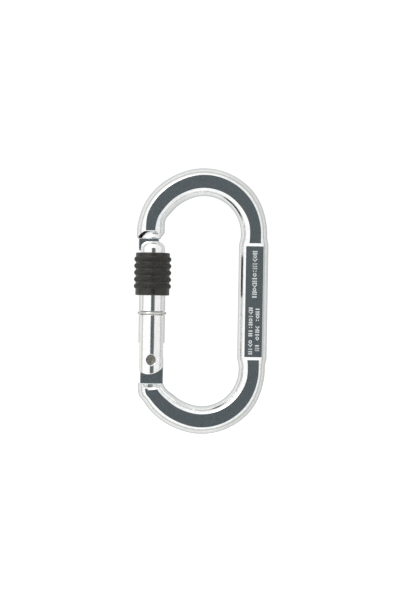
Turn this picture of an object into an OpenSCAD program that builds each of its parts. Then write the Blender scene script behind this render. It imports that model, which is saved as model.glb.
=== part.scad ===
// Oval screw-lock carabiner: a forged bar frame with a sprung, pivoting gate and a threaded locking sleeve.
// Millimetres. +Z up the long axis, +X from the gate side to the spine, -Y is the front face.
// The origin is where the load hangs: the middle of the top bow's inner surface.

/* [Frame] */
// Height over both bows
overall_h = 110; // [109:0.5:114]
// Width over the bar, measured across the bows
overall_w = 54.1; // [53.6:0.1:55]
// Diameter of the round bar before the flats
bar_d = 11.5; // [11.3:0.1:11.6]
// Thickness of the bar between its front and rear flats
flat_t = 10.3; // [10:0.1:10.6]

/* [Spine panel] */
// Height of the pressed panel on the spine
panel_h = 45.8; // [30:0.2:46]
// Thickness of the spine between the two panels
panel_t = 8.8; // [8.4:0.1:9.4]

/* [Gate] */
// Diameter of the gate tube
gate_d = 10.8; // [10.6:0.1:10.9]
// Distance from the oval's centre plane down to the rivet
rivet_drop = 24.55; // [24.2:0.05:25]
// How far the gate swings open, in degrees
swing_deg = 30; // [20:1:32]

/* [Locking sleeve] */
// Length of the sleeve
sleeve_h = 17.6; // [17:0.1:17.8]
// Diameter of the sleeve between its ribs
sleeve_d = 14.2; // [14:0.1:14.6]
// Diameter over the knurled ribs
rib_d = 15.4; // [15:0.1:15.8]
// Number of knurled ribs
rib_count = 5; // [4:1:5]
// How far the sleeve is screwed up from where it rests
sleeve_lift = 0; // [-6.4:0.1:5.9]

/* [Hinge] */
// Diameter of the gate rivet
rivet_d = 3.9; // [3.6:0.1:4]
// Thickness of the frame's hinge tongue
tongue_t = 4; // [3.6:0.1:4.2]

/* [Hidden] */
$fn = 96;

running_gap = 0.1;            // radial play of parts that slide or turn on each other
side_gap = 0.3;               // play of flat parts that pass each other
past = 1;                     // how far a cutting body runs past the face that it opens

// The bows: half rings of the bar whose middle line has radius bow_r.
bar_r = bar_d / 2;
flat_y = flat_t / 2;
bow_r = overall_w / 2 - bar_r;
bow_z = overall_h / 2 - bow_r - bar_r;
inner_apex = bow_z + bow_r - bar_r;

// The spine's pressed panels, and the swelling that the pressing pushes into the opening.
panel_rise = 0.1;             // the panels' middle over the oval's
panel_z0 = panel_rise - panel_h / 2;
panel_z1 = panel_rise + panel_h / 2;
panel_y = panel_t / 2;
ramp_slope = 1.33;            // length of a panel's end ramp over its depth
ramp_y = flat_y + past;
swell_r = 4.73;
swell_in = 1.72;
swell_x = bow_r - swell_in;
swell_end_r = 3.9;
swell_fade = 4.9;

// The gate's axis, and the levels along it.
gate_x = -20.7;
gate_r = gate_d / 2;
rivet_z = -rivet_drop;
rivet_r = rivet_d / 2;
dome_z = 24.35;
dome_round = 3.2;
cheek_end_r = 7.6;            // radius of the cheeks' lower end, seen from the front
cheek_end_up = 1.7;           // its centre's height over the rivet
cheek_end_x = -1;             // its centre's offset to the outside, for room as the gate swings in
rivet_recess = 0.35;
rivet_sink_r = rivet_r + 0.45;
rivet_sink_h = 0.45;
rivet_sink_lift = 0.02;       // keeps the sink's rim clear of the tube's surface
rivet_sink_step = 0.05;

// The latch: a thin hooked tang on the nose, which the gate's cross pin sits in.
nose_z = 25.35;
tang_t = 3.2;
tang_y = tang_t / 2;
tang_x0 = -26.7;
tang_x1 = -18.2;
tang_foot_z = 20.5;
hook_x1 = -19.9;
tang_corner = 0.5;
tang_root = 1.6;              // how far the tang runs up into the nose
chamfer_foot_z = 25.3;
chamfer_top_z = 28.4;
pin_z = 22.9;
pin_r = 0.9;
pin_front_y = -3.4;
pin_rear_y = 4.5;
notch_r = pin_r + 0.25;
latch_floor_z = 19.7;
latch_slot_y = tang_y + side_gap;

// The hinge: a flat tongue on the frame between the gate's two cheeks.
hinge_bar_r = 5.2;
hinge_bar_z = -37;
shoulder_z = -34.3;
shoulder_y = 3.1;             // half the ledge's depth, before it slopes off to the flat
blend_drop = 0.6;             // where the slope inside the hinge bar starts, below the shoulder
blend_h = 3.2;
tongue_y = tongue_t / 2;
tongue_x0 = -4.5;             // the tongue's sides, from the rivet
tongue_x1 = 5.05;
tongue_gap = 0.1;
hinge_slot_y = tongue_y + tongue_gap;
tongue_hole_r = rivet_r + 0.05;
slot_roof = 6.9;              // height of the gate slot's roof over the rivet

// The tongue's head is a cam: the plunger climbs it as the gate opens, so that the spring closes the gate.
cam_r = 3.8;
cam_x = 1.2;
head_r = sqrt(cam_r * cam_r - cam_x * cam_x);
tip_r = 1.5;
tip_gap = 0.1;
tip_z = rivet_z + sqrt(pow(cam_r + tip_r + tip_gap, 2) - cam_x * cam_x);

// The spring bore up the middle of the gate, with the plunger and the spring in it.
plunger_r = 2.15;
bore_r = plunger_r + running_gap;
bore_top_z = 2;
plunger_step = 0.95;
plunger_foot_z = tip_z + plunger_step;
plunger_top_z = -14.4;
wire_r = 0.35;
coil_gap = 0.1;
coil_seat = 0.02;
coil_r = plunger_r - wire_r - coil_gap;
coil_turns = 9;
coil_steps = 16;
wire_sides = 6;

// The stop ring, a split wire ring in a groove.
stop_z = -5.33;
stop_wire_r = 0.68;
stop_outer_r = 6.1;
stop_r = stop_outer_r - stop_wire_r;
ring_play = 0.04;
stop_groove_r = stop_r - stop_wire_r - ring_play;
stop_gap_deg = 14;

// The sleeve and the screwed stretch of the gate under it.
// The thread is a plain cylinder at its pitch diameter.
sleeve_z0 = 2;
sleeve_r = sleeve_d / 2;
sleeve_edge = 0.5;
thread_r = 5.5;
thread_z0 = 2.3;
thread_z1 = 19.2;
nut_r = thread_r + running_gap;
nut_up = 6.7;
nut_h = 4.8;
nut_z0 = sleeve_z0 + nut_up;
nut_z1 = nut_z0 + nut_h;
sleeve_bore_r = 5.85;
sleeve_mouth_r = 6.35;
rib_pitch = 2.78;
rib_round = 0.9;
rib_up = 3.8;
rib_z0 = sleeve_z0 + rib_up;
ring_wire_r = 0.5;
seal_gap = 0.12;
seal_play = 0.05;
ring_r = thread_r + seal_gap + ring_wire_r;
ring_groove_r = ring_r + ring_wire_r + seal_play;
seal_side = 0.08;
ring_groove_h = 2 * (ring_wire_r + seal_side);

// Puts the oval's centre under the origin, so that the origin is the top bow's inner apex.
module hang() {
    translate([0, 0, -inner_apex]) children();
}

// A prism along X from an outline drawn in Y and Z.
module along_x(x0, x1) {
    translate([x0, 0, 0]) rotate([90, 0, 90]) linear_extrude(height = x1 - x0) children();
}

// A plate of thickness t about the middle plane, from an outline drawn in X and Z.
module plate(t) {
    rotate([90, 0, 0]) linear_extrude(height = t, center = true) children();
}

// A round bar along Y from y0 to y1, at x and z.
module pin_y(x, z, r, y0, y1) {
    translate([x, y1, z]) rotate([90, 0, 0]) cylinder(r = r, h = y1 - y0);
}

// The bar's section: round, with flats front and rear.
module bar_section() {
    intersection() {
        circle(r = bar_r);
        square([2 * bar_r + past, flat_t], center = true);
    }
}

// Half a ring of the bar, from the spine side over to the gate side.
module bow(up) {
    translate([0, 0, up * bow_z]) rotate([up * 90, 0, 0]) rotate_extrude(angle = 180)
        translate([bow_r, 0]) bar_section();
}

// The straight side of the frame, with its two pressed panels.
module spine() {
    difference() {
        union() {
            translate([bow_r, 0, -bow_z]) linear_extrude(height = 2 * bow_z) bar_section();
            translate([swell_x, 0, panel_z0]) cylinder(r = swell_r, h = panel_h);
            translate([swell_x, 0, panel_z1]) cylinder(r1 = swell_r, r2 = swell_end_r, h = swell_fade);
            translate([swell_x, 0, panel_z0 - swell_fade])
                cylinder(r1 = swell_end_r, r2 = swell_r, h = swell_fade);
        }
        for (side = [-1, 1]) panel_pocket(side);
    }
}

// What the press takes off one side of the spine: a flat floor with a short ramp at each end.
module panel_pocket(side) {
    ramp = ramp_slope * (ramp_y - panel_y);
    along_x(bow_r - 2 * bar_r, bow_r + 2 * bar_r) polygon([
        [side * panel_y, panel_z0], [side * panel_y, panel_z1],
        [side * ramp_y, panel_z1 + ramp], [side * ramp_y, panel_z0 - ramp]
    ]);
}

// What is milled off one side of the nose, which slopes in to the tang.
module nose_bevel(side) {
    rise = ramp_y - tang_y;
    along_x(-overall_w / 2 - past, gate_x + 2 * bar_r) polygon([
        [side * tang_y, nose_z], [side * ramp_y, nose_z + rise],
        [side * ramp_y, nose_z - past], [side * tang_y, nose_z - past]
    ]);
}

// The inner corner that is cut off the nose, so that a rope slides past it.
module nose_chamfer() {
    plate(2 * bar_r + past) polygon([
        [tang_x1, nose_z - past], [tang_x1, chamfer_foot_z], [-bow_r + bar_r, chamfer_top_z],
        [-bow_r + bar_r + past, chamfer_top_z + past], [-bow_r + bar_r + past, nose_z - past]
    ]);
}

// The hooked tang under the nose.
module tang() {
    plate(tang_t) difference() {
        polygon([
            [tang_x0, nose_z + tang_root], [tang_x0, tang_foot_z + tang_corner],
            [tang_x0 + tang_corner, tang_foot_z],
            [hook_x1 - tang_corner, tang_foot_z], [hook_x1, tang_foot_z + tang_corner],
            [hook_x1, pin_z], [tang_x1, pin_z], [tang_x1, nose_z + tang_root]
        ]);
        translate([gate_x, pin_z]) circle(r = notch_r);
        translate([gate_x, pin_z - notch_r]) square([2 * bar_r, 2 * notch_r]);
    }
}

// The top bow's end over the gate.
module nose() {
    translate([-bow_r, 0, nose_z]) linear_extrude(height = bow_z - nose_z) bar_section();
}

// What is milled off one side of the bottom bow's end, down to the hinge tongue.
module shoulder_bevel(side) {
    fall = ramp_y - shoulder_y;
    along_x(-overall_w / 2 - past, gate_x + 2 * bar_r) polygon([
        [side * tongue_y, shoulder_z], [side * shoulder_y, shoulder_z],
        [side * ramp_y, shoulder_z - fall], [side * ramp_y, -bow_z + past], [side * tongue_y, -bow_z + past]
    ]);
}

// The bar that turns straight up out of the bottom bow, to carry the hinge.
module hinge_bar() {
    intersection() {
        union() {
            translate([gate_x, 0, hinge_bar_z]) sphere(r = hinge_bar_r);
            translate([gate_x, 0, hinge_bar_z]) cylinder(r = hinge_bar_r, h = shoulder_z - hinge_bar_z);
        }
        translate([gate_x - overall_w, -flat_y, -overall_h]) cube([2 * overall_w, flat_t, overall_h]);
    }
}

// The hinge tongue: nearly as wide as the bar, with a cam for a head.
module tongue() {
    plate(tongue_t) difference() {
        union() {
            translate([gate_x + tongue_x0, shoulder_z - past])
                square([tongue_x1 - tongue_x0, rivet_z - shoulder_z + past]);
            translate([gate_x, rivet_z]) circle(r = head_r);
            translate([gate_x + cam_x, rivet_z]) circle(r = cam_r);
        }
        translate([gate_x, rivet_z]) circle(r = tongue_hole_r);
    }
}

// The bottom bow, cut off level at the hinge shoulder and sloped off inside it, into the hinge bar's line.
module bottom_bow() {
    inside_x = gate_x + hinge_bar_r;
    difference() {
        bow(-1);
        translate([-overall_w, -overall_w / 2, shoulder_z])
            cube([overall_w, overall_w, overall_w]);
        plate(2 * bar_r + past) polygon([
            [inside_x, shoulder_z + past], [inside_x, shoulder_z - blend_drop],
            [inside_x + blend_h, shoulder_z - blend_drop - blend_h],
            [0, shoulder_z - blend_drop - blend_h], [0, shoulder_z + past]
        ]);
    }
}

// The whole forged frame, one piece from the nose round to the hinge tongue.
module frame() {
    color("gainsboro") hang() {
        spine();
        difference() {
            union() {
                bow(1);
                nose();
            }
            for (side = [-1, 1]) nose_bevel(side);
            nose_chamfer();
        }
        tang();
        difference() {
            union() {
                bottom_bow();
                hinge_bar();
            }
            for (side = [-1, 1]) shoulder_bevel(side);
        }
        tongue();
    }
}

// The gate's outer shape: tube, screwed stretch, domed nose end and round-ended hinge cheeks.
module gate_outside() {
    translate([gate_x, 0, 0]) {
        translate([0, 0, rivet_z]) cylinder(r = gate_r, h = dome_z - dome_round - rivet_z);
        translate([0, 0, dome_z - dome_round]) rotate_extrude() intersection() {
            union() {
                square([gate_r - dome_round, dome_round]);
                translate([gate_r - dome_round, 0]) circle(r = dome_round);
            }
            square([gate_r, dome_round]);
        }
        translate([0, 0, thread_z0]) cylinder(r = thread_r, h = thread_z1 - thread_z0);
    }
    intersection() {
        translate([gate_x, 0, rivet_z - gate_d]) cylinder(r = gate_r, h = gate_d + past);
        pin_y(gate_x + cheek_end_x, rivet_z + cheek_end_up, cheek_end_r, -gate_d, gate_d);
    }
}

// The swinging gate, slotted at both ends and bored for the closing spring.
module gate_body() {
    color("silver") hang() difference() {
        gate_outside();
        // hinge slot
        translate([gate_x - gate_d, -hinge_slot_y, rivet_z - gate_d])
            cube([2 * gate_d, 2 * hinge_slot_y, gate_d + slot_roof]);
        // latch slot
        translate([gate_x - gate_d, -latch_slot_y, latch_floor_z])
            cube([2 * gate_d, 2 * latch_slot_y, gate_d]);
        // spring bore
        translate([gate_x, 0, rivet_z]) cylinder(r = bore_r, h = bore_top_z - rivet_z);
        // stop ring groove
        translate([gate_x, 0, stop_z - stop_wire_r - ring_play]) rotate_extrude()
            translate([stop_groove_r, 0]) square([gate_r, 2 * (stop_wire_r + ring_play)]);
        // rivet hole, countersunk at both ends
        pin_y(gate_x, rivet_z, rivet_r, -gate_d, gate_d);
        for (side = [-1, 1]) translate([gate_x, side * (gate_r + rivet_sink_lift), rivet_z])
            rotate([side * 90, 0, 0])
                cylinder(r1 = rivet_sink_r, r2 = rivet_r - rivet_sink_step,
                         h = rivet_sink_h + 2 * rivet_sink_step);
        // latch pin hole, blind at the front
        pin_y(gate_x, pin_z, pin_r, pin_front_y, gate_d);
    }
}

// The rivet that the gate swings on, fast in the cheeks and free in the tongue.
module hinge_rivet() {
    rivet_y = gate_r - rivet_recess;
    color("rosybrown") hang() pin_y(gate_x, rivet_z, rivet_r, -rivet_y, rivet_y);
}

// The cross pin in the gate's latch slot.
module latch_pin() {
    color("lightsteelblue") hang() pin_y(gate_x, pin_z, pin_r, pin_front_y, pin_rear_y);
}

// The split wire ring that stops the sleeve on its way down.
module stop_ring() {
    color("slategray") hang() translate([gate_x, 0, stop_z]) rotate([0, 0, 90 + stop_gap_deg / 2])
        rotate_extrude(angle = 360 - stop_gap_deg) translate([stop_r, 0]) circle(r = stop_wire_r);
}

// The coil spring in the gate, a wire swept along a helix.
module gate_spring() {
    low = plunger_top_z + wire_r + coil_seat;
    high = bore_top_z - wire_r - coil_seat;
    rings = coil_turns * coil_steps;
    points = [for (i = [0:rings]) let(turn = 360 * i / coil_steps, z = low + (high - low) * i / rings)
        for (s = [0:wire_sides - 1]) let(a = 360 * s / wire_sides, r = coil_r + wire_r * cos(a))
            [r * cos(turn), r * sin(turn), z + wire_r * sin(a)]];
    sides = [for (i = [0:rings - 1]) for (s = [0:wire_sides - 1]) let(n = (s + 1) % wire_sides)
        [i * wire_sides + s, (i + 1) * wire_sides + s, (i + 1) * wire_sides + n, i * wire_sides + n]];
    start = [for (s = [0:wire_sides - 1]) s];
    end = [for (s = [wire_sides - 1:-1:0]) rings * wire_sides + s];
    color("dimgray") hang() translate([gate_x, 0, 0])
        polyhedron(points = points, faces = concat([start], sides, [end]));
}

// The plunger that the spring presses on the tongue's cam.
module spring_plunger() {
    color("tan") hang() translate([gate_x, 0, 0]) {
        translate([0, 0, tip_z]) sphere(r = tip_r);
        translate([0, 0, tip_z]) cylinder(r = tip_r, h = plunger_foot_z - tip_z);
        translate([0, 0, plunger_foot_z]) cylinder(r = plunger_r, h = plunger_top_z - plunger_foot_z);
    }
}

// The sleeve's outer shape: a chamfered tube with rounded ribs.
module sleeve_outside() {
    tube_h = sleeve_h - 2 * sleeve_edge;
    translate([0, 0, sleeve_z0]) {
        cylinder(r1 = sleeve_r - sleeve_edge, r2 = sleeve_r, h = sleeve_edge);
        translate([0, 0, sleeve_edge]) cylinder(r = sleeve_r, h = tube_h);
        translate([0, 0, sleeve_edge + tube_h])
            cylinder(r1 = sleeve_r, r2 = sleeve_r - sleeve_edge, h = sleeve_edge);
    }
    for (i = [0:rib_count - 1]) translate([0, 0, rib_z0 + i * rib_pitch])
        rotate_extrude() translate([rib_d / 2 - rib_round, 0]) circle(r = rib_round);
}

// The knurled sleeve that screws up over the nose to lock the gate.
module locking_sleeve() {
    color("darkslategray") hang() translate([gate_x, 0, sleeve_lift]) difference() {
        sleeve_outside();
        translate([0, 0, sleeve_z0 - past]) cylinder(r = sleeve_bore_r, h = nut_z0 - sleeve_z0 + past);
        translate([0, 0, nut_z0 - past]) cylinder(r = nut_r, h = sleeve_h);
        translate([0, 0, nut_z1]) cylinder(r1 = nut_r, r2 = sleeve_mouth_r, h = sleeve_mouth_r - nut_r);
        translate([0, 0, nut_z1 + sleeve_mouth_r - nut_r]) cylinder(r = sleeve_mouth_r, h = sleeve_h);
        translate([0, 0, rib_z0 - ring_groove_h / 2]) cylinder(r = ring_groove_r, h = ring_groove_h);
    }
}

// The soft ring inside the sleeve that keeps it from shaking loose.
module sleeve_friction_ring() {
    color("black") hang() translate([gate_x, 0, rib_z0 + sleeve_lift]) rotate_extrude()
        translate([ring_r, 0]) circle(r = ring_wire_r);
}

frame();
gate_body();
hinge_rivet();
latch_pin();
stop_ring();
gate_spring();
spring_plunger();
locking_sleeve();
sleeve_friction_ring();
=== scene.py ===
"""Looks of the oval screw-lock carabiner.

Meshes are drawn in millimetres about the oval's centre, with x from the gate to the spine, y to the rear and
z up the long axis, and are put in the frame's metres by add()."""
import math

import bpy
import numpy as np
from mathutils import Matrix, Vector


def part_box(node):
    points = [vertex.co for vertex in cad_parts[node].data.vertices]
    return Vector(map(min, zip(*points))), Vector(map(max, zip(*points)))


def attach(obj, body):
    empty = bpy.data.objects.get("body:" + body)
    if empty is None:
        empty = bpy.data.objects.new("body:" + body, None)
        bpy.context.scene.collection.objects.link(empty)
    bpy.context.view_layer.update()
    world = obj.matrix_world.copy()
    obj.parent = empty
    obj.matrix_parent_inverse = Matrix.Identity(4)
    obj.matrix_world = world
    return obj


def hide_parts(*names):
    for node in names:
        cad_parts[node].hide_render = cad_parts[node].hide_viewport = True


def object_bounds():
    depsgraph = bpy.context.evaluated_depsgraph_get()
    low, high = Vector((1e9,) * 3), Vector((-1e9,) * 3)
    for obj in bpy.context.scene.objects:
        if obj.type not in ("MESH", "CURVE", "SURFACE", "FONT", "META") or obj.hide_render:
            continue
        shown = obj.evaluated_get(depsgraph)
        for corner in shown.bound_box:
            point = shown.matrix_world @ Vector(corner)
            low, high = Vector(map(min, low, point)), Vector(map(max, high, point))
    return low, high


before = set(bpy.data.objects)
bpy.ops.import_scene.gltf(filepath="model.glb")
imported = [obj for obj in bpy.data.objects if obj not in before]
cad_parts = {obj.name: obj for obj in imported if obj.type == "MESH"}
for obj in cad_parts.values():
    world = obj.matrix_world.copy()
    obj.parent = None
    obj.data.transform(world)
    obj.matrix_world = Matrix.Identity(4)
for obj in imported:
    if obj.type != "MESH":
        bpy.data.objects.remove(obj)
CAD_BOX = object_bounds()
TAU = 2 * math.pi


# ---------------------------------------------------------------- sizes, from the frame
def mm_box(node):
    """A CAD node's corners in millimetres about the oval's centre."""
    lo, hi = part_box(node)
    return np.array(lo) * 1000 - [0, 0, MID_Z], np.array(hi) * 1000 - [0, 0, MID_Z]


FRAME_LO, FRAME_HI = (np.array(c) * 1000 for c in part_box("frame"))
MID_Z = (FRAME_LO[2] + FRAME_HI[2]) / 2
BAR_R = FRAME_HI[2] / 2          # the row's origin is the top bow's inner apex
FLAT_Y = FRAME_HI[1]
OUT_R = FRAME_HI[0]              # outer radius of the bows
IN_R = OUT_R - 2 * BAR_R
BOW_R = OUT_R - BAR_R
BOW_Z = (FRAME_HI[2] - FRAME_LO[2]) / 2 - OUT_R

GATE_LO, GATE_HI = mm_box("gate_body")
GATE_X = (GATE_LO[0] + GATE_HI[0]) / 2
DOME_Z = GATE_HI[2]
RIVET_LO, RIVET_HI = mm_box("hinge_rivet")
RIVET_Z = (RIVET_LO[2] + RIVET_HI[2]) / 2
RIVET_R = (RIVET_HI[2] - RIVET_LO[2]) / 2
PIN_LO, PIN_HI = mm_box("latch_pin")
PIN_Z = (PIN_LO[2] + PIN_HI[2]) / 2
PIN_R = (PIN_HI[2] - PIN_LO[2]) / 2
STOP_LO, STOP_HI = mm_box("stop_ring")
STOP_Z = (STOP_LO[2] + STOP_HI[2]) / 2
STOP_WIRE = (STOP_HI[2] - STOP_LO[2]) / 2
STOP_R = (STOP_HI[0] - STOP_LO[0]) / 2 - STOP_WIRE
SLEEVE_LO, SLEEVE_HI = mm_box("locking_sleeve")
RIB_R = (SLEEVE_HI[0] - SLEEVE_LO[0]) / 2
SEAL_LO, SEAL_HI = mm_box("sleeve_friction_ring")
SEAL_Z = (SEAL_LO[2] + SEAL_HI[2]) / 2
SEAL_WIRE = (SEAL_HI[2] - SEAL_LO[2]) / 2
SEAL_R = (SEAL_HI[0] - SEAL_LO[0]) / 2 - SEAL_WIRE
PLUNGER_LO, PLUNGER_HI = mm_box("spring_plunger")
SPRING_LO, SPRING_HI = mm_box("gate_spring")

# Frame details, in millimetres.
NOSE_Z, TANG_X, TANG_Y, HOOK_Z0 = 25.35, -26.7, 1.6, 20.5
NOSE_LEDGE, SHOULDER_LEDGE, BEVEL = 1.95, 3.1, 1.0
SHOULDER_Z, HINGE_R, HINGE_Z = -34.3, 5.2, -37.0
EDGE = 0.35
EDGE_STEPS = np.array([0, 0.02, 0.06, 0.12, 0.2, 0.28, 0.35])
PANEL_Y, PANEL_Z0, PANEL_Z1, RAMP = 4.4, -22.8, 23.0, 1.33
SWELL, SWELL_FADE = 0.7, 4.2
TONGUE_Y, TONGUE_X0, TONGUE_X1 = 2.0, -4.5, 5.05
SPINE_IN, SPINE_FADE = 0.6, 45.0
ARM_OUT, ARM_AT, CROWN_IN, HEEL_OUT, SOLE_IN = 0.45, 165, 0.22, 0.3, 0.2
THIN_OUTER, THIN_INNER = 0.2, 0.6
SLOPE_DROP, SLOPE_END = 0.6, 0.45   # the slope inside the hinge: its start and its height over the bow
CAM_R, CAM_X = 3.8, 1.2

# Gate details.
GATE_R, SINK = 5.4, 0.45
CHEEK_END_R, CHEEK_END_X, CHEEK_END_UP = 7.6, -1.0, 1.7
HINGE_SLOT, SLOT_ROOF = 2.1, 6.9
LATCH_SLOT, LATCH_FLOOR = 1.9, 19.7
BORE_R, BORE_TOP = 2.25, 2.0
THREAD_Z0, THREAD_Z1, PITCH, THREAD_R, THREAD_H, THREAD_GAP = 2.3, 19.2, 1.5, 5.38, 0.2, 0.12
DOME_ROUND = 3.2


# ---------------------------------------------------------------- mesh tools
def smin(a, b, k):
    """The smaller of a and b, rounded over k."""
    h = np.clip(0.5 + 0.5 * (b - a) / k, 0, 1)
    return b * (1 - h) + a * h - k * h * (1 - h)


def smax(a, b, k):
    return -smin(-a, -b, k)


def ease(x):
    x = np.clip(x, 0, 1)
    return x * x * (3 - 2 * x)


def outward(co, quads):
    """The faces of a closed shell, turned to point outward."""
    a, b, c, d = (co[quads[:, i]] for i in (0, 1, 2, -1))
    volume = np.einsum("ij,ij->i", a, np.cross(b, c) + np.cross(c, d)).sum()
    return quads[:, ::-1] if volume < 0 else quads


def area_normals(co, quads):
    """Point normals that lean to the larger faces, so that flats stay flat beside a small round."""
    a, b, c, d = (co[quads[:, i]] for i in (0, 1, 2, -1))
    area = np.cross(c - a, d - b)
    normals = np.zeros_like(co)
    for i in range(quads.shape[1]):
        np.add.at(normals, quads[:, i], area)
    return normals


def joined(*shells):
    """Several closed shells as one: (points, faces, normals)."""
    verts, faces, normals, start = [], [], [], 0
    for co, quads, *given in shells:
        quads = outward(co, quads)
        verts.append(co)
        faces.append(quads + start)
        normals.append(given[0] if given else area_normals(co, quads))
        start += len(co)
    return np.concatenate(verts), np.concatenate(faces), np.concatenate(normals)


def add(name, shell, mat, body, node):
    """A mesh piece in place of a CAD node, from shells in the drawing's millimetres."""
    co, quads, normals = joined(shell) if isinstance(shell, tuple) else joined(*shell)
    rows = [tuple(dict.fromkeys(f)) for f in quads.tolist()]
    me = bpy.data.meshes.new(name)
    me.from_pydata(((co + [0, 0, MID_Z]) / 1000).tolist(), [], rows)
    me.polygons.foreach_set("use_smooth", [True] * len(me.polygons))
    me.update()
    normals = normals / np.maximum(np.linalg.norm(normals, axis=1, keepdims=True), 1e-12)
    me.normals_split_custom_set_from_vertices(normals.tolist())
    ob = bpy.data.objects.new(name, me)
    bpy.context.scene.collection.objects.link(ob)
    ob.data.materials.append(mat)
    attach(ob, body)
    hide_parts(node)
    return ob


def sheet_faces(rows, cols, wrap_rows=False, wrap_cols=True, start=0):
    """Quads between the points of a grid of rows x cols."""
    r = np.arange(rows if wrap_rows else rows - 1)
    c = np.arange(cols if wrap_cols else cols - 1)
    r, c = (g.ravel() for g in np.meshgrid(r, c, indexing="ij"))
    r2, c2 = (r + 1) % rows, (c + 1) % cols
    return np.stack([r * cols + c, r * cols + c2, r2 * cols + c2, r2 * cols + c], 1) + start


def capped(grid):
    """A tube of rings, closed at both ends by a fan."""
    rows, cols = grid.shape[:2]
    verts = [grid.reshape(-1, 3), grid[0].mean(0)[None], grid[-1].mean(0)[None]]
    ring = np.arange(cols)
    nxt = (ring + 1) % cols
    first, last = rows * cols, rows * cols + 1
    end = (rows - 1) * cols
    faces = [sheet_faces(rows, cols),
             np.stack([np.full(cols, first), nxt, ring, ring], 1),
             np.stack([np.full(cols, last), end + ring, end + nxt, end + nxt], 1)]
    return np.concatenate(verts), np.concatenate(faces)


def lathe(profile, sides, centre=(0, 0, 0), axis="z"):
    """A closed solid from (radius, height) points that start and end on the axis."""
    pr = np.asarray(profile, float)
    t = np.arange(sides) * TAU / sides
    inner = pr[1:-1]
    x = inner[:, 0, None] * np.cos(t)
    y = inner[:, 0, None] * np.sin(t)
    z = np.repeat(inner[:, 1, None], sides, 1)
    grid = np.stack([x, y, z], -1)
    verts, faces = capped(grid)
    verts[-2], verts[-1] = (0, 0, pr[0, 1]), (0, 0, pr[-1, 1])
    if axis == "y":
        verts = verts[:, [0, 2, 1]] * [1, 1, -1]
    return verts + np.asarray(centre, float), faces


def tube(path, radius, sides, closed=False):
    """A wire along a path of points."""
    p = np.asarray(path, float)
    tangent = np.roll(p, -1, 0) - np.roll(p, 1, 0) if closed else np.gradient(p, axis=0)
    tangent /= np.linalg.norm(tangent, axis=1, keepdims=True)
    up = np.array([0, 0, 1.0])
    side = np.cross(tangent, up)
    side /= np.linalg.norm(side, axis=1, keepdims=True)
    up = np.cross(side, tangent)
    a = np.arange(sides) * TAU / sides
    across, over = np.cos(a)[None, :, None] * side[:, None], np.sin(a)[None, :, None] * up[:, None]
    grid = p[:, None] + radius * (across + over)
    if closed:
        return grid.reshape(-1, 3), sheet_faces(len(p), sides, wrap_rows=True)
    return capped(grid)


def net(field, lo, hi, step):
    """The surface where a distance field is zero, as quads about one grid cell wide, with its normals."""
    axes = [np.arange(l, h + step, step) for l, h in zip(lo, hi)]
    gx, gy, gz = np.meshgrid(*axes, indexing="ij")
    f = field(gx, gy, gz)
    ins = f < 0
    n = np.array(f.shape)
    total, count = np.zeros((*(n - 1), 3)), np.zeros(n - 1)
    corners = [(i, j, k) for i in (0, 1) for j in (0, 1) for k in (0, 1)]
    cut = lambda arr, c: arr[c[0]:n[0] - 1 + c[0], c[1]:n[1] - 1 + c[1], c[2]:n[2] - 1 + c[2]]
    for ax in range(3):
        for c in (c for c in corners if c[ax] == 0):
            e = list(c)
            e[ax] = 1
            fa, fb = cut(f, c), cut(f, e)
            cross = (fa < 0) != (fb < 0)
            t = np.where(cross, fa / np.where(cross, fa - fb, 1), 0)
            for i in range(3):
                total[..., i] += np.where(cross, (t if i == ax else c[i]), 0)
            count += cross
    live = count > 0
    ids = np.full(live.shape, -1)
    ids[live] = np.arange(live.sum())
    base = np.stack(np.nonzero(live), 1)
    v = (base + total[live] / count[live][:, None]) * step + np.array(lo)
    quads = []
    for ax in range(3):
        lo_i = [slice(0, None)] * 3
        hi_i = [slice(0, None)] * 3
        lo_i[ax], hi_i[ax] = slice(0, -1), slice(1, None)
        change = ins[tuple(lo_i)] != ins[tuple(hi_i)]
        e = np.stack(np.nonzero(change), 1)
        u, w = [(1, 2), (2, 0), (0, 1)][ax]
        e = e[(e[:, u] > 0) & (e[:, w] > 0) & (e[:, u] < n[u] - 1) & (e[:, w] < n[w] - 1)]
        out = ins[tuple(lo_i)][tuple(e.T)]
        cells = []
        for du, dw in ((-1, -1), (0, -1), (0, 0), (-1, 0)):
            q = e.copy()
            q[:, u] += du
            q[:, w] += dw
            cells.append(ids[tuple(q.T)])
        q = np.stack(cells, 1)
        q[~out] = q[~out][:, ::-1]
        quads.append(q)
    quads = np.concatenate(quads)

    def slope(p):
        h = step * 0.25
        d = [field(*(p + h * o).T) - field(*(p - h * o).T) for o in np.eye(3)]
        return np.stack(d, 1) / (2 * h)

    for _ in range(3):
        g = slope(v)
        d = field(*v.T)
        move = d[:, None] * g / np.maximum((g * g).sum(1, keepdims=True), 0.2)
        v -= np.clip(move, -step / 2, step / 2)
    return v, quads, slope(v)


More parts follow.
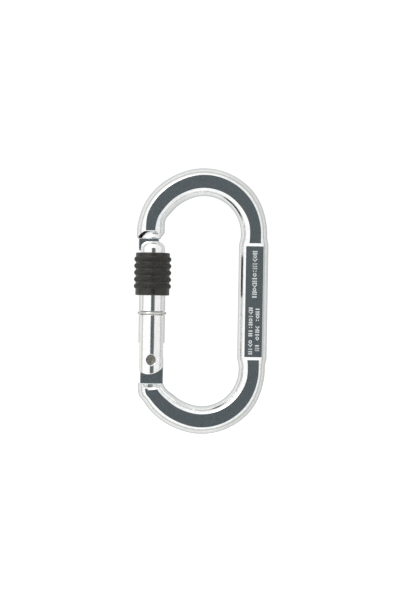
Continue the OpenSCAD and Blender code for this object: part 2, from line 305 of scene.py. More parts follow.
# ---------------------------------------------------------------- materials
class Nodes:
    """A material's node tree, with short calls for the nodes that the finishes share."""

    def __init__(self, name):
        self.mat = bpy.data.materials.new(name)
        self.mat.use_nodes = True
        self.tree = self.mat.node_tree
        self.tree.nodes.clear()
        self.shader = self.tree.nodes.new("ShaderNodeBsdfPrincipled")
        out = self.tree.nodes.new("ShaderNodeOutputMaterial")
        self.tree.links.new(self.shader.outputs[0], out.inputs[0])
        self.coords = self.tree.nodes.new("ShaderNodeTexCoord").outputs["Object"]

    def link(self, value, socket):
        if isinstance(value, bpy.types.NodeSocket):
            self.tree.links.new(value, socket)
        else:
            socket.default_value = value

    def scaled(self, scale):
        node = self.tree.nodes.new("ShaderNodeMapping")
        node.inputs["Scale"].default_value = scale
        self.tree.links.new(self.coords, node.inputs["Vector"])
        return node.outputs[0]

    def noise(self, size, detail=3.0, rough=0.5, stretch=(1, 1, 1), warp=0.0):
        """Noise whose features are about size millimetres."""
        node = self.tree.nodes.new("ShaderNodeTexNoise")
        self.tree.links.new(self.scaled(stretch), node.inputs["Vector"])
        node.inputs["Scale"].default_value = 1000 / size
        node.inputs["Detail"].default_value = detail
        node.inputs["Roughness"].default_value = rough
        node.inputs["Distortion"].default_value = warp
        return node.outputs["Fac"]

    def remap(self, value, a, b, c, d):
        node = self.tree.nodes.new("ShaderNodeMapRange")
        self.link(value, node.inputs["Value"])
        for key, x in zip(("From Min", "From Max", "To Min", "To Max"), (a, b, c, d)):
            node.inputs[key].default_value = x
        return node.outputs[0]

    def math(self, kind, a, b=0.0):
        node = self.tree.nodes.new("ShaderNodeMath")
        node.operation = kind
        self.link(a, node.inputs[0])
        self.link(b, node.inputs[1])
        return node.outputs[0]

    def mix(self, fac, a, b):
        node = self.tree.nodes.new("ShaderNodeMix")
        node.data_type = "RGBA"
        self.link(fac, node.inputs[0])
        self.link(a, node.inputs[6])
        self.link(b, node.inputs[7])
        return node.outputs[2]

    def bump(self, height, depth, normal=None):
        """A bump of depth millimetres."""
        node = self.tree.nodes.new("ShaderNodeBump")
        node.inputs["Strength"].default_value = 1.0
        node.inputs["Distance"].default_value = depth / 1000
        self.link(height, node.inputs["Height"])
        if normal is not None:
            self.tree.links.new(normal, node.inputs["Normal"])
        return node.outputs[0]

    def set(self, **values):
        for key, value in values.items():
            self.link(value, self.shader.inputs[key.replace("_", " ")])
        return self.mat


def metal(name, bright, dull, rough, grain, mottle=1.4, drawn=(1, 1, 1), pits=0.35):
    """Bare metal: mottled colour, uneven polish, fine lines along the drawn direction, slight waves."""
    n = Nodes(name)
    patches = n.noise(mottle, 4.0, 0.6, warp=0.4)
    fine = n.noise(0.16, 3.0, 0.6, drawn)
    dark = n.math("MULTIPLY", n.remap(patches, 0.42, 0.68, 0, 1), 0.6)
    specks = n.remap(n.noise(0.5, 2.0, 0.5), 0.6, 0.75, 0, pits)
    colour = n.mix(n.math("ADD", dark, specks), (*bright, 1), (*dull, 1))
    low, high = rough
    wear = n.math("MULTIPLY", n.remap(fine, 0.3, 0.7, 0, 1), n.remap(patches, 0.3, 0.7, 0.4, 1))
    wavy = n.bump(n.noise(5.0, 1.0, 0.4), 0.05)
    lines = n.bump(fine, grain, wavy)
    return n.set(Base_Color=colour, Metallic=1.0, Roughness=n.remap(wear, 0, 1, low, high), Normal=lines)


FORGED = metal("polished_forging", (0.93, 0.935, 0.93), (0.72, 0.76, 0.78), (0.07, 0.2), 0.004, 1.1)
GATE = metal("polished_tube", (0.94, 0.94, 0.935), (0.80, 0.81, 0.80), (0.1, 0.2), 0.0022, 1.6, (1, 1, 0.12))
RIVET = metal("cut_rivet_end", (0.24, 0.235, 0.21), (0.05, 0.048, 0.042), (0.28, 0.55), 0.02, 0.7,
              (0.3, 1, 1), 0.8)
PIN = metal("ground_pin", (0.66, 0.66, 0.65), (0.5, 0.5, 0.5), (0.12, 0.25), 0.002, 0.8)
WIRE = metal("drawn_wire", (0.68, 0.68, 0.66), (0.44, 0.44, 0.43), (0.14, 0.3), 0.003, 1.0)
SPRING = metal("spring_wire", (0.47, 0.47, 0.48), (0.3, 0.3, 0.31), (0.2, 0.35), 0.003, 0.8)
BRASS = metal("turned_brass", (0.78, 0.62, 0.33), (0.55, 0.42, 0.2), (0.15, 0.3), 0.003, 0.8, (0.2, 0.2, 3))


def anodised():
    n = Nodes("black_anodised")
    patches = n.noise(2.2, 4.0, 0.6)
    fine = n.noise(0.12, 3.0, 0.65)
    worn = n.remap(fine, 0.56, 0.74, 0, 1)
    colour = n.mix(n.remap(patches, 0.35, 0.65, 0, 1), (0.006, 0.0052, 0.0046, 1), (0.014, 0.012, 0.0105, 1))
    colour = n.mix(n.math("MULTIPLY", worn, 0.6), colour, (0.08, 0.075, 0.068, 1))
    return n.set(Base_Color=colour, Roughness=n.remap(patches, 0.3, 0.7, 0.2, 0.36),
                 Normal=n.bump(fine, 0.03), Specular_IOR_Level=0.5)


def rubber():
    n = Nodes("seal_rubber")
    fine = n.noise(0.2, 3.0, 0.6)
    colour = n.mix(fine, (0.018, 0.018, 0.018, 1), (0.035, 0.034, 0.033, 1))
    return n.set(Base_Color=colour, Roughness=n.remap(fine, 0.3, 0.7, 0.55, 0.75), Normal=n.bump(fine, 0.01))


ANODISED, RUBBER = anodised(), rubber()


# ---------------------------------------------------------------- frame
def polar(radius, degrees, z0):
    """A point of a bow, in degrees over the gate side."""
    t = np.radians(degrees)
    return np.stack([-radius * np.cos(t), z0 + radius * np.sin(t)], -1)


def resample(points, fractions):
    p = np.asarray(points, float)
    s = np.r_[0, np.cumsum(np.linalg.norm(np.diff(p, axis=0), axis=1))]
    return np.stack([np.interp(np.asarray(fractions) * s[-1], s, p[:, i]) for i in (0, 1)], 1)


def soften(points, reach):
    """Rounds a polyline's corners: a running mean over reach millimetres, with the ends kept."""
    p = resample(points, np.linspace(0, 1, 400))
    length = np.linalg.norm(np.diff(p, axis=0), axis=1).sum()
    k = max(1, int(reach / length * 400 / 2))
    for _ in range(2):
        padded = np.concatenate([2 * p[0] - p[k:0:-1], p, 2 * p[-1] - p[-2:-k - 2:-1]])
        kernel = np.ones(2 * k + 1) / (2 * k + 1)
        p = np.stack([np.convolve(padded[:, i], kernel, "valid") for i in (0, 1)], 1)
    return p


def rounding(depth):
    """How far an end's edge draws in, depth millimetres from the end."""
    x = np.clip(EDGE - depth, 0, EDGE)
    return EDGE - np.sqrt(EDGE ** 2 - x ** 2)


def hump(angle, at, spread):
    return np.exp(-((angle - at) / spread) ** 2)


def as_bent(outer, inner):
    """The edges with the bends of the real bar, and how far the spine's outer side gives way."""
    mid = (outer + inner) / 2
    way = (outer - inner) / np.linalg.norm(outer - inner, axis=1)[:, None]
    # degrees round each bow, from the spine
    turn = np.degrees(np.arctan2(mid[:, 1] - BOW_Z, mid[:, 0]))
    turn = np.where(turn < -90, turn + 360, turn)
    low_turn = np.degrees(np.arctan2(-BOW_Z - mid[:, 1], mid[:, 0]))
    wide = np.where(turn > ARM_AT, ARM_OUT, ARM_OUT * hump(turn, ARM_AT, 20)) - CROWN_IN * hump(turn, 115, 18)
    # the nose's end stays narrow enough for the raised sleeve
    wide = wide * ease((np.where(mid[:, 0] < 0, mid[:, 1], 99) - NOSE_Z + 0.05) / 0.9)
    low = HEEL_OUT * hump(low_turn, 147, 12) - SOLE_IN * hump(low_turn, 110, 14)
    wide = np.where(mid[:, 1] > 20, wide * (turn > 40), np.where(mid[:, 1] < -BOW_Z, low, 0))
    thin = hump(turn, 162, 10) * (mid[:, 1] > 20)
    outer = outer + (wide - THIN_OUTER * thin)[:, None] * way
    inner = inner + (wide + THIN_INNER * thin)[:, None] * way
    # the spine is fuller over its panels
    beyond = smax(PANEL_Z0 - mid[:, 1], mid[:, 1] - PANEL_Z1, 0.2)
    over = np.degrees(np.arctan2(np.maximum(np.abs(mid[:, 1]) - BOW_Z, 0), np.maximum(mid[:, 0], 0.01)))
    less = SPINE_IN * ease(beyond / SWELL_FADE) * ease((SPINE_FADE - over) / 35) * (mid[:, 0] > 0)
    return outer - less[:, None] * way, inner, less


def frame_stations():
    """Edges of the bar, seen from the front, from the nose round to the hinge; see as_bent()."""
    # nose: level sections
    z = np.r_[NOSE_Z + EDGE_STEPS, np.arange(25.85, 30.2, 0.125)]
    up = np.maximum(z - BOW_Z, 0)
    out_x = -np.sqrt(OUT_R ** 2 - up ** 2) + rounding(z - NOSE_Z)
    in_x = -np.sqrt(IN_R ** 2 - up ** 2)
    chamfer = -17.6 + (z - 25.35) * 0.87
    in_x = smin(in_x, chamfer, 0.35) - rounding(z - NOSE_Z)
    outer, inner = [np.stack([out_x, z], 1)], [np.stack([in_x, z], 1)]
    # turn the sections from level to radial
    start = z[-1] - BOW_Z
    t = np.linspace(0, 1, 26)[1:]
    outer.append(polar(OUT_R, np.degrees(np.arcsin(start / OUT_R)) * (1 - t) + 32 * t, BOW_Z))
    inner.append(polar(IN_R, np.degrees(np.arcsin(start / IN_R)) * (1 - t) + 32 * t, BOW_Z))
    arc = np.arange(33.5, 180, 1.5)
    outer.append(polar(OUT_R, arc, BOW_Z))
    inner.append(polar(IN_R, arc, BOW_Z))
    # spine, with close sections over the panel for its marks
    top, foot = PANEL_Z1 + 1.6, PANEL_Z0 - 1.6
    z = np.r_[np.linspace(BOW_Z, top, 12), np.linspace(top, foot, 350)[1:-1], np.linspace(foot, -BOW_Z, 14)]
    outer.append(np.stack([np.full_like(z, OUT_R), z], 1))
    inner.append(np.stack([np.full_like(z, IN_R), z], 1))
    # bottom bow, clockwise from the spine
    meet = 50
    arc = np.arange(-178.5, -meet, 1.5)
    outer.append(polar(OUT_R, arc, -BOW_Z))
    inner.append(polar(IN_R, arc, -BOW_Z))
    # hinge end
    ball = np.array([[GATE_X + HINGE_R * np.cos(a), HINGE_Z + HINGE_R * np.sin(a)]
                     for a in np.radians(np.arange(180, 270, 3))])
    from_mid = np.hypot(ball[:, 0], ball[:, 1] + BOW_Z)
    ball = ball[from_mid > OUT_R]
    a0 = math.degrees(math.atan2(-(ball[-1, 1] + BOW_Z), -ball[-1, 0]))
    rest = polar(OUT_R, -np.arange(a0 + 1, meet + 0.1, 1), -BOW_Z)
    line = np.concatenate([[[GATE_X - HINGE_R, SHOULDER_Z]], ball, rest])
    line[-1] = polar(OUT_R, -meet, -BOW_Z)
    side = GATE_X + HINGE_R
    cut = [[side, SHOULDER_Z], [side, SHOULDER_Z - SLOPE_DROP]]
    for d in np.arange(0.2, 8, 0.2):
        cut.append([side + d, SHOULDER_Z - SLOPE_DROP - d])
        if np.hypot(cut[-1][0], cut[-1][1] + BOW_Z) < IN_R + SLOPE_END:
            break
    a1 = math.degrees(math.atan2(-(cut[-1][1] + BOW_Z), -cut[-1][0]))
    rest = polar(IN_R, -np.arange(a1 + 1, meet + 0.1, 1), -BOW_Z)
    cut = np.concatenate([cut, rest])
    cut[-1] = polar(IN_R, -meet, -BOW_Z)
    t = np.r_[EDGE_STEPS / 17, np.linspace(0.45 / 17, 1, 110)][::-1][1:]
    o, i = resample(soften(line, 1.6), t), resample(soften(cut, 2.2), t)
    o[:, 0] += rounding(np.maximum(SHOULDER_Z - o[:, 1], 0))
    i[:, 0] -= rounding(np.maximum(SHOULDER_Z - i[:, 1], 0))
    outer.append(o)
    inner.append(i)
    return as_bent(np.concatenate(outer), np.concatenate(inner))


def flat_depth(x, z):
    """Half the bar's thickness between its flats."""
    h = np.full_like(z, FLAT_Y)
    floor = smax(PANEL_Z0 - z, z - PANEL_Z1, 0.2)
    panel = PANEL_Y + np.maximum(floor, 0) / RAMP
    h = np.where((x > 0) & (np.abs(z) < 26), smin(h, panel, 0.12), h)
    nose = NOSE_LEDGE + (z - NOSE_Z) * BEVEL
    h = np.where((x < 0) & (z > 20), smin(h, nose, 0.14) - rounding(np.maximum(z - NOSE_Z, 0)), h)
    drop = SHOULDER_LEDGE + (SHOULDER_Z - z) * BEVEL
    low = (x < 0) & (z < 0)
    return np.where(low, smin(h, drop, 0.14) - rounding(np.maximum(SHOULDER_Z - z, 0)), h)


def stamped(x, z):
    """Depth of the stamped marks on the front panel: rows of plain bars, rings, dots and chevrons."""
    depth, half, deep = np.zeros_like(x), 0.18, 0.052

    def stroke(ax, az, bx, bz):
        near = np.abs(x - (ax + bx) / 2) < abs(bx - ax) / 2 + 0.5
        near &= np.abs(z - (az + bz) / 2) < abs(bz - az) / 2 + 0.5
        px, pz, dx, dz = x[near] - ax, z[near] - az, bx - ax, bz - az
        t = np.clip((px * dx + pz * dz) / (dx * dx + dz * dz + 1e-9), 0, 1)
        dist = np.hypot(px - t * dx, pz - t * dz)
        depth[near] = np.maximum(depth[near], deep * ease(1.25 - dist / half))

    def ring(cx, cz, r):
        near = (np.abs(x - cx) < r + 0.5) & (np.abs(z - cz) < r + 0.5)
        dist = np.abs(np.hypot(x[near] - cx, z[near] - cz) - r)
        depth[near] = np.maximum(depth[near], deep * ease(1.25 - dist / half))

    def row(cx, top, pitch, tall, marks):
        w = pitch * 0.28
        for i, kind in enumerate(marks):
            cz = top - i * pitch
            if kind == "|":
                stroke(cx - tall, cz, cx + tall, cz)
            elif kind == "=":
                for s in (-1, 1):
                    stroke(cx - tall, cz + s * w, cx + tall, cz + s * w)
            elif kind == "o":
                ring(cx, cz, w * 1.25)
            elif kind == "<":
                stroke(cx - tall, cz + w, cx, cz - w)
                stroke(cx, cz - w, cx + tall, cz + w)
            elif kind == ":":
                for s in (-1, 1):
                    stroke(cx + s * tall * 0.6, cz - 0.1, cx + s * tall * 0.6, cz + 0.1)

    row(21.3, 20.3, 1.52, 0.85, "=o<|=:o|=<o=|")
    row(22.75, -3.0, 1.5, 0.72, "|=o: <=|o |=")
    row(19.95, -3.0, 1.5, 0.72, "=<|o=:|= o<|=")
    return depth


def frame_mesh():
    outer, inner, less = frame_stations()
    mid = (outer + inner) / 2
    gap = outer - inner
    w = np.linalg.norm(gap, axis=1) / 2
    n = gap / (2 * w[:, None])
    # the flats are narrower by the nose
    from_nose = np.hypot(mid[:, 0] + BOW_R, mid[:, 1] - NOSE_Z)
    by_nose = ease((12 - from_nose) / 9) * (mid[:, 1] > 0) * (mid[:, 0] < 0)
    # and wider over the tops of the bows than beside the spine
    turn = np.degrees(np.arctan2(np.maximum(np.abs(mid[:, 1]) - BOW_Z, 0), mid[:, 0]))
    broad = np.exp(-((turn - 85) / 38) ** 2) - 0.7 * np.exp(-((turn - 12) / 20) ** 2) * (mid[:, 0] > 0)
    ry = BAR_R - 0.27 * by_nose + 0.12 * broad
    h0 = flat_depth(mid[:, 0], mid[:, 1])
    a0 = w * np.sqrt(np.maximum(1 - (h0 / ry) ** 2, 0.01))
    ends = {}
    for side in (1, -1):
        at = mid + side * a0[:, None] * n
        h = np.minimum(flat_depth(at[:, 0], at[:, 1]), ry * 0.995)
        psi = np.arcsin(h / ry)
        ends[side] = (h, psi, w * np.cos(psi))
    d = 0.07
    front, rear, arc, fil = 56, 14, 17, 4

    def corner(side, face):
        """A small round between a flat and the round side; from the flat to the side."""
        h, psi, a = ends[side]
        t = np.linspace(0, 1, fil)[None, :]
        p0 = (a - d)[:, None], h[:, None]
        p1 = a[:, None], h[:, None]
        q = psi - d / ry
        p2 = (w * np.cos(q))[:, None], (ry * np.sin(q))[:, None]
        pts = [(1 - t) ** 2 * u + 2 * t * (1 - t) * v + t * t * s for u, v, s in zip(p0, p1, p2)]
        return side * pts[0], face * pts[1]

    def flat(face, count, start):
        h1, _, a1 = ends[start]
        h2, _, a2 = ends[-start]
        t = np.linspace(0, 1, count + 2)[None, 1:-1]
        x0, x1 = start * (a1 - d), -start * (a2 - d)
        return x0[:, None] * (1 - t) + x1[:, None] * t, face * (h1[:, None] * (1 - t) + h2[:, None] * t)

    def round_side(side, face):
        _, psi, _ = ends[side]
        q = (psi - d / ry)[:, None] * np.linspace(1, -1, arc + 2)[None, 1:-1]
        return side * w[:, None] * np.cos(q), face * ry[:, None] * np.sin(q)

    flip = lambda pair: (pair[0][:, ::-1], pair[1][:, ::-1])
    parts = [flat(-1, front, 1), corner(-1, -1), round_side(-1, -1), flip(corner(-1, 1)), flat(1, rear, -1),
             corner(1, 1), round_side(1, 1), flip(corner(1, -1))]
    sn, sy = (np.concatenate([p[i] for p in parts], 1) for i in (0, 1))
    # where the spine is lean, only its round side gives way, not the flats
    sn = sn + 0.9 * less[:, None] * np.maximum(1 - (sn / w[:, None]) ** 2, 0)
    # the pressing swells the spine into the opening
    z = mid[:, 1:2]
    beyond = smax(PANEL_Z0 - z, z - PANEL_Z1, 0.2)
    fade = ease(1 - beyond / SWELL_FADE) * (mid[:, :1] > 20)
    sn = np.where(sn < -2, sn - SWELL * fade * np.maximum(1 - (sy / 4.25) ** 2, 0), sn)
    x = mid[:, :1] + sn * n[:, :1]
    zz = mid[:, 1:] + sn * n[:, 1:]
    on_front = np.zeros(sn.shape[1], bool)
    on_front[:front] = True
    mark = np.where((mid[:, :1] > 20) & (np.abs(z) < 22) & on_front, stamped(x, zz), 0)
    return capped(np.stack([x, sy + mark, zz], -1))


def plate_field(outline, half, fillet):
    """Distance to a plate about the middle plane; outline is a distance in x and z."""
    def field(x, y, z):
        return smax(outline(x, z), np.abs(y) - half, fillet)
    return field


def box2(x, z, x0, x1, z0, z1):
    return np.maximum(np.maximum(x0 - x, x - x1), np.maximum(z0 - z, z - z1))


def tang_outline(x, z):
    body = smax(TANG_X - x, x + 18.2, 0.3)
    body = smax(body, HOOK_Z0 - z, 0.6)
    body = np.maximum(body, z - (NOSE_Z + 1))
    body = np.maximum(body, np.minimum(x + 19.9, PIN_Z - z))
    r = PIN_R + 0.25
    notch = np.minimum(np.hypot(x - GATE_X, z - PIN_Z) - r, np.maximum(GATE_X - x, np.abs(z - PIN_Z) - r))
    return smax(body, -notch, 0.15)


def tongue_outline(x, z):
    u, v = x - GATE_X, z - RIVET_Z
    head = smin(np.hypot(u, v) - math.sqrt(CAM_R ** 2 - CAM_X ** 2), np.hypot(u - CAM_X, v) - CAM_R, 0.1)
    stem = np.maximum(box2(u, v, TONGUE_X0, TONGUE_X1, SHOULDER_Z - 1.5 - RIVET_Z, 50), v)
    hole = np.hypot(u, v) - RIVET_R - 0.05
    return np.maximum(np.maximum(smin(head, stem, 0.15), TONGUE_X0 - u), -hole)


def make_frame():
    step = 0.17
    tang = net(plate_field(tang_outline, TANG_Y, 0.25), (-27.4, -2, HOOK_Z0 - 0.5),
               (-17.6, 2, NOSE_Z + 1.5), step)
    tongue = net(plate_field(tongue_outline, TONGUE_Y, 0.08), (GATE_X - 5.4, -2.4, SHOULDER_Z - 2),
                 (GATE_X + 5.6, 2.4, RIVET_Z + 4.2), step)
    return add("forged_frame", [frame_mesh(), tang, tongue], FORGED, "frame", "frame")


# ---------------------------------------------------------------- gate
def thread(x, y, z):
    """Height of the right-hand screw thread, from -1 to 1, about the gate's axis."""
    phase = z / PITCH - np.arctan2(y, x) / TAU
    tri = 1 - 4 * np.abs(phase - np.floor(phase) - 0.5)
    return np.clip(tri * 1.35, -1, 1)


def gate_field(x, y, z):
    u = x - GATE_X
    r = np.hypot(u, y)
    screwed = smin(smin(z - THREAD_Z0, THREAD_Z1 - z, 0.3) * 1.2, 1.0 + 0 * z, 0.3)
    screwed = np.clip(screwed, 0, 1)
    radius = GATE_R + screwed * (THREAD_R + THREAD_H * thread(u, y, z) - GATE_R)
    top = DOME_Z - DOME_ROUND
    q = np.maximum(r - (GATE_R - DOME_ROUND), 0)
    dome = np.hypot(q, np.maximum(z - top, 0)) - DOME_ROUND
    body = np.where(z > top, dome, r - radius)
    lower = np.hypot(u - CHEEK_END_X, z - RIVET_Z - CHEEK_END_UP) - CHEEK_END_R
    body = smax(body, np.where(z < RIVET_Z + CHEEK_END_UP, lower, -1.0), 0.3)
    groove = smax(np.abs(z - STOP_Z) - STOP_WIRE - 0.06, STOP_R - STOP_WIRE - 0.04 - r, 0.15)
    body = smax(body, -groove, 0.12)
    hinge = smax(np.abs(y) - HINGE_SLOT, z - (RIVET_Z + SLOT_ROOF), 0.2)
    latch = smax(np.abs(y) - LATCH_SLOT, LATCH_FLOOR - z, 0.2)
    bore = np.maximum(r - BORE_R, z - BORE_TOP)
    for hole in (hinge, latch, bore):
        body = smax(body, -hole, 0.22)
    rivet = np.hypot(u, z - RIVET_Z) - RIVET_R - np.maximum(np.abs(y) - GATE_R + SINK, 0) * 0.9
    pin = np.maximum(np.hypot(u, z - PIN_Z) - PIN_R, PIN_LO[1] - y)
    return smax(smax(body, -rivet, 0.08), -pin, 0.06)


def make_gate():
    v, f, g = net(gate_field, (GATE_X - 5.8, -5.8, GATE_LO[2] - 0.6), (GATE_X + 5.8, 5.8, DOME_Z + 0.5), 0.17)
    return add("gate_tube", (v, f, g), GATE, "gate", "gate_body")


def make_rivet():
    """A rivet with peened, slightly dished ends that were sheared rough."""
    rng = np.random.default_rng(4)
    sides, half = 96, RIVET_HI[1]
    rr = np.r_[0, np.linspace(0.12, RIVET_R - 0.22, 13), RIVET_R - 0.1, RIVET_R - 0.03, RIVET_R]
    dish = np.where(rr < RIVET_R - 0.2, 0.16 * (1 - (rr / RIVET_R) ** 2) + 0.06, 0.0)
    drop = np.r_[dish[:-3], 0.0, 0.03, 0.12]
    end = [(r, half - d) for r, d in zip(rr, drop)]
    profile = [(r, -h) for r, h in end] + [(RIVET_R, z) for z in np.linspace(-3.5, 3.5, 9)] + end[::-1]
    verts, faces = lathe(profile, sides, (GATE_X, 0, RIVET_Z), "y")
    u, w = verts[:, 0] - GATE_X, verts[:, 2] - RIVET_Z
    face = (np.hypot(u, w) < RIVET_R - 0.15) & (np.abs(verts[:, 1]) > half - 0.5)
    lumps = sum(a * np.sin(k * u * math.cos(t) + k * w * math.sin(t) + p)
                for k, a, t, p in zip((3, 5, 8, 12), (0.03, 0.022, 0.014, 0.01),
                                      rng.random(4) * 3, rng.random(4) * 6))
    verts[:, 1] -= np.sign(verts[:, 1]) * face * (0.05 + lumps + 0.06 * ease((w - u) / 2.2))
    return add("rivet", (verts, faces), RIVET, "gate", "hinge_rivet")


def make_pin():
    lo, hi = PIN_LO[1], PIN_HI[1]
    profile = [(0, lo)] + [(PIN_R - 0.12 + 0.12 * math.sin(a), lo + 0.12 - 0.12 * math.cos(a))
                           for a in np.linspace(0, math.pi / 2, 5)]
    profile += [(PIN_R, y) for y in np.linspace(lo + 0.5, hi - 0.5, 9)]
    profile += [(PIN_R - 0.12 + 0.12 * math.cos(a), hi - 0.12 + 0.12 * math.sin(a))
                for a in np.linspace(0, math.pi / 2, 5)] + [(0, hi)]
    verts, faces = lathe(profile, 48, (GATE_X, 0, PIN_Z), "y")
    return add("latch_cross_pin", (verts, faces), PIN, "gate", "latch_pin")


def make_stop_ring():
    """A split ring of wire, a little out of true, with its gap at the rear."""
    a = np.radians(90 + 7) + np.linspace(0, math.radians(360 - 14), 160)
    wave = 0.03 * np.sin(a * 2 + 1)
    path = np.stack([GATE_X + STOP_R * np.cos(a), STOP_R * np.sin(a), STOP_Z + wave * 0.4], 1)
    verts, faces = tube(path, STOP_WIRE - 0.12, 24)
    return add("stop_wire_ring", (verts, faces), WIRE, "gate", "stop_ring")


def make_spring():
    """A compression spring whose end turns lie closed."""
    wire = 0.35
    turns, steps = 9.0, 28
    t = np.linspace(0, 1, int(turns * steps) + 1)
    lo, hi = SPRING_LO[2] + wire, SPRING_HI[2] - wire
    closed = 1.0 / turns
    rise = np.interp(t, [0, closed, 1 - closed, 1], [0, 0.045, 0.955, 1])
    a = t * turns * TAU
    r = (SPRING_HI[0] - SPRING_LO[0]) / 2 - wire
    path = np.stack([GATE_X + r * np.cos(a), r * np.sin(a), lo + (hi - lo) * rise], 1)
    verts, faces = tube(path, wire, 14)
    return add("closing_spring", (verts, faces), SPRING, "gate", "gate_spring")


def make_plunger():
    lo, hi = PLUNGER_LO[2], PLUNGER_HI[2]
    big = (PLUNGER_HI[0] - PLUNGER_LO[0]) / 2
    tip = 1.5
    profile = [(tip * math.sin(a), lo + tip - tip * math.cos(a)) for a in np.linspace(0, math.pi / 2, 12)]
    foot = lo + tip + 0.95
    profile += [(tip, foot - 0.1), (tip + 0.1, foot), (big - 0.15, foot), (big, foot + 0.15)]
    profile += [(big, z) for z in np.linspace(foot + 0.3, hi - 0.15, 5)] + [(big - 0.15, hi), (0, hi)]
    verts, faces = lathe(profile, 64, (GATE_X, 0, 0))
    return add("plunger", (verts, faces), BRASS, "plunger", "spring_plunger")


# ---------------------------------------------------------------- sleeve
def make_sleeve():
    """Plain bands at both ends, five rounded ribs with a diamond knurl, and the female thread half way up."""
    z0, z1 = SLEEVE_LO[2], SLEEVE_HI[2]
    tube_r, edge, rib_round, pitch, first = RIB_R - 0.6, 0.5, 1.15, 2.78, z0 + 3.8
    teeth, sides, cut = 36, 480, 0.36
    th = np.arange(sides) * TAU / sides
    z = np.linspace(z0 + edge, z1 - edge, 150)
    quarter = np.linspace(0, math.pi / 2, 5)[:-1]
    bottom = [(tube_r - edge + edge * math.sin(a), z0 + edge - edge * math.cos(a)) for a in quarter]
    top = [(tube_r - edge + edge * math.cos(a), z1 - edge + edge * math.sin(a)) for a in quarter[1:]]
    top.append((tube_r - edge, z1))
    from_rib = np.min([np.abs(z - (first + i * pitch)) for i in range(5)], axis=0)
    rib = RIB_R - rib_round + np.sqrt(np.maximum(rib_round ** 2 - from_rib ** 2, 0))
    rib = np.where(from_rib < rib_round, rib, 0)
    ribs = smax(rib, tube_r - 0.05 + 0 * z, 0.14)
    on_rib = ease((ribs - tube_r) / 0.25)
    u, v = th[None] * teeth / TAU + z[:, None] / 1.25, th[None] * teeth / TAU - z[:, None] / 1.25
    tri = lambda a: np.abs(a - np.floor(a) - 0.5) * 2
    knurl = np.maximum(1 - tri(u) * 2.2, 1 - tri(v) * 2.2)
    body = ribs[:, None] - cut * np.maximum(knurl, 0) * on_rib[:, None]
    rows_r = [np.full(sides, r) for r, _ in bottom] + list(body) + [np.full(sides, r) for r, _ in top]
    rows_z = [b[1] for b in bottom] + list(z) + [t[1] for t in top]
    # inside, from the top down
    bore, mouth, nut0, nut1 = 5.85, 6.35, z0 + 6.7, z0 + 11.5
    groove_r, groove_h = SEAL_R + SEAL_WIRE + 0.05, SEAL_WIRE + 0.08
    crest = THREAD_R + THREAD_GAP
    inside = [(mouth + 0.3, z1), (mouth, z1 - 0.3), (mouth, (z1 + nut1) / 2), (mouth, nut1 + 0.9)]
    inside = [(r, zz, 0) for r, zz in inside]
    for zz in np.arange(nut1 + 0.05, nut0, -0.1):
        inside.append((crest, zz, float(np.clip(min(nut1 - zz, zz - nut0) / 0.4, 0, 1))))
    inside += [(bore, nut0 - 0.4, 0), (bore, SEAL_Z + groove_h + 0.04, 0), (groove_r, SEAL_Z + groove_h, 0),
               (groove_r, SEAL_Z - groove_h, 0), (bore, SEAL_Z - groove_h - 0.04, 0), (bore, z0 + 0.25, 0),
               (bore + 0.25, z0, 0)]
    for r, zz, on in inside:
        wave = THREAD_H * thread(np.cos(th), np.sin(th), zz) if on else 0
        rows_r.append(r + on * wave + np.zeros(sides))
        rows_z.append(zz)
    rad, hgt = np.array(rows_r), np.array(rows_z)[:, None] + np.zeros((1, sides))
    grid = np.stack([GATE_X + rad * np.cos(th), rad * np.sin(th), hgt], -1)
    faces = sheet_faces(len(rad), sides, wrap_rows=True)
    return add("knurled_sleeve", (grid.reshape(-1, 3), faces), ANODISED, "sleeve", "locking_sleeve")


def make_seal():
    a = np.arange(144) * TAU / 144
    path = np.stack([GATE_X + SEAL_R * np.cos(a), SEAL_R * np.sin(a), SEAL_Z + 0 * a], 1)
    verts, faces = tube(path, SEAL_WIRE, 20, closed=True)
    return add("friction_seal", (verts, faces), RUBBER, "sleeve_ring", "sleeve_friction_ring")


make_frame()
make_gate()
make_rivet()
make_pin()
make_stop_ring()
make_spring()
make_plunger()
make_sleeve()
make_seal()


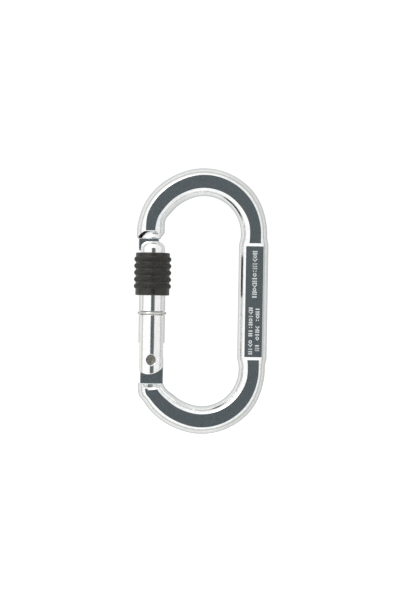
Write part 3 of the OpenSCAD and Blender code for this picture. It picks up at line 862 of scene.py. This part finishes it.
# ---------------------------------------------------------------- studio
def make_world():
    """White all round in front, with a dark doorway behind the camera and light grey walls to the rear."""
    world = bpy.data.worlds.new("studio")
    bpy.context.scene.world = world
    world.use_nodes = True
    nt = world.node_tree
    nt.nodes.clear()
    new, link = nt.nodes.new, nt.links.new

    def math_node(kind, a, b=None, c=None):
        node = new("ShaderNodeMath")
        node.operation = kind
        for i, v in enumerate((a, b, c)):
            if v is None:
                continue
            if isinstance(v, bpy.types.NodeSocket):
                link(v, node.inputs[i])
            else:
                node.inputs[i].default_value = v
        return node.outputs[0]

    def clamped(value):
        node = new("ShaderNodeClamp")
        link(value, node.inputs[0])
        return node.outputs[0]

    def colour_ramp(fac, stops):
        node = new("ShaderNodeValToRGB")
        el = node.color_ramp.elements
        while len(el) < len(stops):
            el.new(0.5)
        for e, (pos, col) in zip(el, stops):
            e.position, e.color = pos, (*col, 1)
        link(fac, node.inputs[0])
        return node.outputs[0]

    def mixed(fac, a, b):
        node = new("ShaderNodeMix")
        node.data_type = "RGBA"
        link(fac, node.inputs[0])
        for s, v in ((6, a), (7, b)):
            if isinstance(v, bpy.types.NodeSocket):
                link(v, node.inputs[s])
            else:
                node.inputs[s].default_value = (*v, 1)
        return node.outputs[2]

    coords = new("ShaderNodeTexCoord")
    split = new("ShaderNodeSeparateXYZ")
    link(coords.outputs["Generated"], split.inputs[0])
    x, y, z = split.outputs
    off_axis = math_node("DIVIDE", math_node("ARCCOSINE", math_node("MULTIPLY", y, -1.0)), math.pi)
    deg = lambda d: d / 180
    wall = colour_ramp(off_axis, [
        (0, (1, 1, 1)), (deg(78), (1, 1, 1)), (deg(86), (0.52, 0.52, 0.48)), (deg(93), (0.6, 0.6, 0.57)),
        (deg(104), (0.86, 0.86, 0.84)), (deg(135), (0.66, 0.67, 0.67)), (deg(160), (0.5, 0.51, 0.52)),
        (deg(180), (0.42, 0.43, 0.45))])
    doorway = colour_ramp(math_node("MULTIPLY", math_node("ADD", z, 0.2), 2.5), [
        (0, (0.05, 0.052, 0.072)), (0.5, (0.05, 0.062, 0.075)), (1, (0.052, 0.066, 0.084))])
    doorway = mixed(clamped(math_node("MULTIPLY_ADD", x, 3.0, 0.45)), doorway, (0.112, 0.135, 0.135))

    def patch(toward, inner, outer):
        """How far a direction lies inside a round patch of the studio."""
        toward = Vector(toward).normalized()
        along = [math_node("MULTIPLY", axis, part) for axis, part in zip((x, y, z), toward)]
        dot = math_node("ADD", math_node("ADD", along[0], along[1]), along[2])
        node = new("ShaderNodeMapRange")
        link(dot, node.inputs["Value"])
        node.inputs["From Min"].default_value = math.cos(math.radians(outer))
        node.inputs["From Max"].default_value = math.cos(math.radians(inner))
        return node.outputs[0]

    sky = mixed(patch((0.139, -0.99, 0), 14.5, 18.5), wall, doorway)
    rays = new("ShaderNodeLightPath")
    seen = new("ShaderNodeBackground")
    seen.inputs[0].default_value = (1, 1, 1, 1)
    seen.inputs[1].default_value = 1.05
    lit = new("ShaderNodeBackground")
    link(sky, lit.inputs[0])
    right = new("ShaderNodeMapRange")
    link(x, right.inputs["Value"])
    for key, value in zip(("From Min", "From Max", "To Min", "To Max"), (0.2, 0.5, 1.12, 0.95)):
        right.inputs[key].default_value = value
    link(right.outputs[0], lit.inputs[1])
    both = new("ShaderNodeMixShader")
    link(rays.outputs["Is Camera Ray"], both.inputs[0])
    link(lit.outputs[0], both.inputs[1])
    link(seen.outputs[0], both.inputs[2])
    out = new("ShaderNodeOutputWorld")
    link(both.outputs[0], out.inputs[0])


def make_floor():
    low = CAD_BOX[0].z - 0.075
    me = bpy.data.meshes.new("floor")
    s = 3.0
    me.from_pydata([(-s, -s, low), (s, -s, low), (s, s, low), (-s, s, low)], [], [(0, 1, 2, 3)])
    floor = bpy.data.objects.new("floor", me)
    bpy.context.scene.collection.objects.link(floor)
    n = Nodes("pale_floor")
    n.set(Base_Color=(0.9, 0.9, 0.9, 1), Roughness=0.9, Emission_Color=(1, 1, 1, 1), Emission_Strength=0.35)
    me.materials.append(n.mat)
    floor.visible_glossy = False


def make_light():
    data = bpy.data.lights.new("softbox", "AREA")
    data.shape, data.size, data.size_y, data.energy = "RECTANGLE", 0.5, 0.5, 2.2
    lamp = bpy.data.objects.new("softbox", data)
    lamp.location = (-0.35, -0.55, 0.45)
    lamp.rotation_euler = (Vector((0, 0, MID_Z / 1000)) - lamp.location).to_track_quat("-Z", "Y").to_euler()
    bpy.context.scene.collection.objects.link(lamp)


def make_camera():
    """Square on to the front, level with the middle, with the object leaning a degree clockwise."""
    data = bpy.data.cameras.new("camera")
    data.lens, data.sensor_width = 100, 36
    cam = bpy.data.objects.new("camera", data)
    lean = math.radians(1.0)
    aim_x, aim_z, distance = -0.0007, 0.00023, 0.691
    right = Vector((math.cos(lean), 0, math.sin(lean)))
    up = Vector((-math.sin(lean), 0, math.cos(lean)))
    back = Vector((0, -1, 0))
    turn = Matrix((right, up, back)).transposed().to_4x4()
    cam.matrix_world = Matrix.Translation((aim_x, -distance, MID_Z / 1000 + aim_z)) @ turn
    bpy.context.scene.collection.objects.link(cam)
    bpy.context.scene.camera = cam


make_world()
make_floor()
make_light()
make_camera()
bpy.context.scene.view_settings.view_transform = "Standard"
